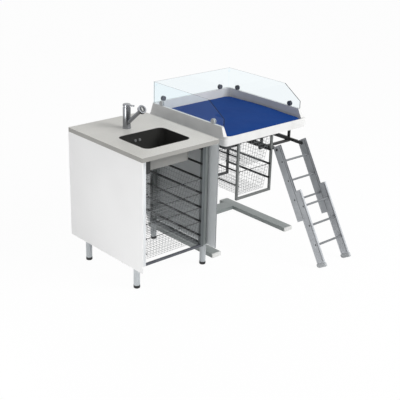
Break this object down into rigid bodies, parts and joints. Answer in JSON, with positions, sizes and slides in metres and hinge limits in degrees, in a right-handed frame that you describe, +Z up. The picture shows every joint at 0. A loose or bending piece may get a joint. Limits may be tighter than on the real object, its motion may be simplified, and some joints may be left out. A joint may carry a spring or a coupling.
{
  "type": "changing table with bathtub",
  "caption": "Height-adjustable changing table with a padded tray, clear guards, hanging wire baskets and a pull-out ladder, beside a bath cabinet with bowl, tap and wire drawers",
  "frame": {"origin": "on the floor, under the middle of the whole part's bounding box", "axes": "+X to the right as seen from the front, along cabinet and table; +Y to the back; +Z up"},
  "size_m": [1.433, 1.2894, 1.059],
  "materials": {
    "worktop": "warm light grey laminate",
    "bowl_dark": "near-black smooth bowl",
    "bowl_outside": "grey outside of the bowl",
    "chrome": "polished chrome",
    "drain_plastic": "white plastic pipe",
    "leg_steel": "light grey painted steel",
    "black_plastic": "black plastic",
    "panel_white": "white laminate board",
    "panel_grey": "grey laminate board",
    "aluminium": "silver anodised aluminium",
    "wire": "bright steel wire",
    "base_grey": "grey painted steel",
    "frame_grey": "mid grey painted steel",
    "shoe_grey": "grey rubber",
    "cap_light": "light grey plastic end caps",
    "pad_rubber": "dark rubber",
    "motor": "dark motor housing",
    "spindle": "bright steel screw",
    "nut": "plastic nut",
    "tray_white": "white moulded plastic",
    "mattress_blue": "blue coated fabric over foam",
    "clear": "clear acrylic sheet",
    "clamp_grey": "dark grey plastic clamps",
    "switch_dark": "dark plastic switch box",
    "black_steel": "black painted steel"
  },
  "bodies": {
    "base": {"worktop": "worktop", "sink_bowl": "bowl_dark", "bowl_housing": "bowl_outside", "overflow_rosettes": "chrome", "drain_strainer": "chrome", "drain_trap": "drain_plastic", "faucet_base": "chrome", "legs": "leg_steel", "leg_feet": "black_plastic", "side_panel_left": "panel_white", "side_panel_right": "panel_grey", "rack_frame": "aluminium", "rack_front_rail": "black_plastic", "rack_runners_left": "black_plastic", "rack_runners_right": "black_plastic", "base_foot_left": "base_grey", "base_foot_right": "base_grey", "base_crossbar": "base_grey", "foot_caps": "cap_light", "base_pads": "pad_rubber", "column_outer": "base_grey", "column_glide": "black_plastic", "lift_motor": "motor"},
    "tray": {"column_inner": "base_grey", "spindle_nut": "nut", "tray_frame": "base_grey", "changing_tray": "tray_white", "guard_left": "clear", "guard_right": "clear", "guard_back": "clear", "clamp_knobs": "clamp_grey", "guard_clips": "clear", "switch_housing": "switch_dark", "basket_frame_front": "frame_grey", "basket_frame_rear": "black_steel", "unit_runners": "black_plastic", "ladder_hanger": "black_steel", "ladder_guides": "black_steel"},
    "mattress": {"mattress": "mattress_blue"},
    "spindle": {"lift_spindle": "spindle"},
    "rails": {"ladder_rails": "black_steel"},
    "ladder_upper": {"upper_stringers": "aluminium", "upper_rungs": "aluminium"},
    "ladder_lower": {"lower_stringers": "aluminium", "lower_rungs": "aluminium", "ladder_shoes": "shoe_grey"},
    "tap": {"faucet_body": "chrome"},
    "spray": {"spray_head": "chrome"},
    "lever_turntable": {"lever_stem": "chrome"},
    "lever": {"faucet_lever": "chrome"},
    "plug": {"drain_plug": "chrome"},
    "up_button": {"button_up": "black_plastic"},
    "down_button": {"button_down": "black_plastic"},
    "unit_basket_a": {"unit_basket_upper": "wire"},
    "unit_basket_b": {"unit_basket_lower": "wire"},
    "basket_1": {"cabinet_basket_1": "wire"},
    "basket_2": {"cabinet_basket_2": "wire"},
    "basket_3": {"cabinet_basket_3": "wire"},
    "basket_4": {"cabinet_basket_4": "wire"}
  },
  "joints": [
    {"name": "table_lift", "type": "slide", "parent": "base", "child": "tray", "axis": [0, 0, 1], "range_m": [-0.2, 0.1]},
    {"name": "spindle_spin", "type": "hinge", "parent": "base", "child": "spindle", "pos_m": [0.333, 0.52922, 0.3], "axis": [0, 0, 1], "range_deg": [-6005, 3005]},
    {"name": "ladder_pull", "type": "slide", "parent": "tray", "child": "rails", "axis": [0, 1, 0], "range_m": [0, 0.08]},
    {"name": "ladder_tilt", "type": "hinge", "parent": "rails", "child": "ladder_upper", "pos_m": [0.4085, -0.15128, 0.695], "axis": [-1, 0, 0], "range_deg": [0, 59]},
    {"name": "ladder_extend", "type": "slide", "parent": "ladder_upper", "child": "ladder_lower", "axis": [0, -0.503, -0.8643], "range_m": [-0.2318, 0.116]},
    {"name": "mattress_lift", "type": "slide", "parent": "tray", "child": "mattress", "axis": [0, 0, 1], "range_m": [0, 0.3]},
    {"name": "tap_swivel", "type": "hinge", "parent": "base", "child": "tap", "pos_m": [-0.4315, 0.36972, 0.873], "axis": [0, 0, 1], "range_deg": [-60, 60]},
    {"name": "spray_pull", "type": "slide", "parent": "tap", "child": "spray", "axis": [0, -0.766, 0.6428], "range_m": [0, 0.05]},
    {"name": "lever_turn", "type": "hinge", "parent": "tap", "child": "lever_turntable", "pos_m": [-0.4315, 0.36972, 1.009], "axis": [0, 0, 1], "range_deg": [-45, 45]},
    {"name": "lever_lift", "type": "hinge", "parent": "lever_turntable", "child": "lever", "pos_m": [-0.4315, 0.38472, 1.019], "axis": [-1, 0, 0], "range_deg": [0, 20]},
    {"name": "plug_lift", "type": "slide", "parent": "base", "child": "plug", "axis": [0, 0, 1], "range_m": [0, 0.01]},
    {"name": "up_button_press", "type": "slide", "parent": "tray", "child": "up_button", "axis": [0, 1, 0], "range_m": [0, 0.002], "stiffness_N_per_m": 600},
    {"name": "down_button_press", "type": "slide", "parent": "tray", "child": "down_button", "axis": [0, 1, 0], "range_m": [0, 0.002], "stiffness_N_per_m": 600},
    {"name": "unit_basket_a_slide", "type": "slide", "parent": "tray", "child": "unit_basket_a", "axis": [0, -1, 0], "range_m": [0, 0.3]},
    {"name": "unit_basket_b_slide", "type": "slide", "parent": "tray", "child": "unit_basket_b", "axis": [0, -1, 0], "range_m": [0, 0.3]},
    {"name": "basket_1_slide", "type": "slide", "parent": "base", "child": "basket_1", "axis": [0, -1, 0], "range_m": [0, 0.4]},
    {"name": "basket_2_slide", "type": "slide", "parent": "base", "child": "basket_2", "axis": [0, -1, 0], "range_m": [0, 0.4]},
    {"name": "basket_3_slide", "type": "slide", "parent": "base", "child": "basket_3", "axis": [0, -1, 0], "range_m": [0, 0.4]},
    {"name": "basket_4_slide", "type": "slide", "parent": "base", "child": "basket_4", "axis": [0, -1, 0], "range_m": [0, 0.4]}
  ],
  "couplings": [
    {"joint": "ladder_extend", "follows": "table_lift", "ratio": 1.157},
    {"joint": "spindle_spin", "follows": "table_lift", "rad_per_m": 523.6}
  ]
}
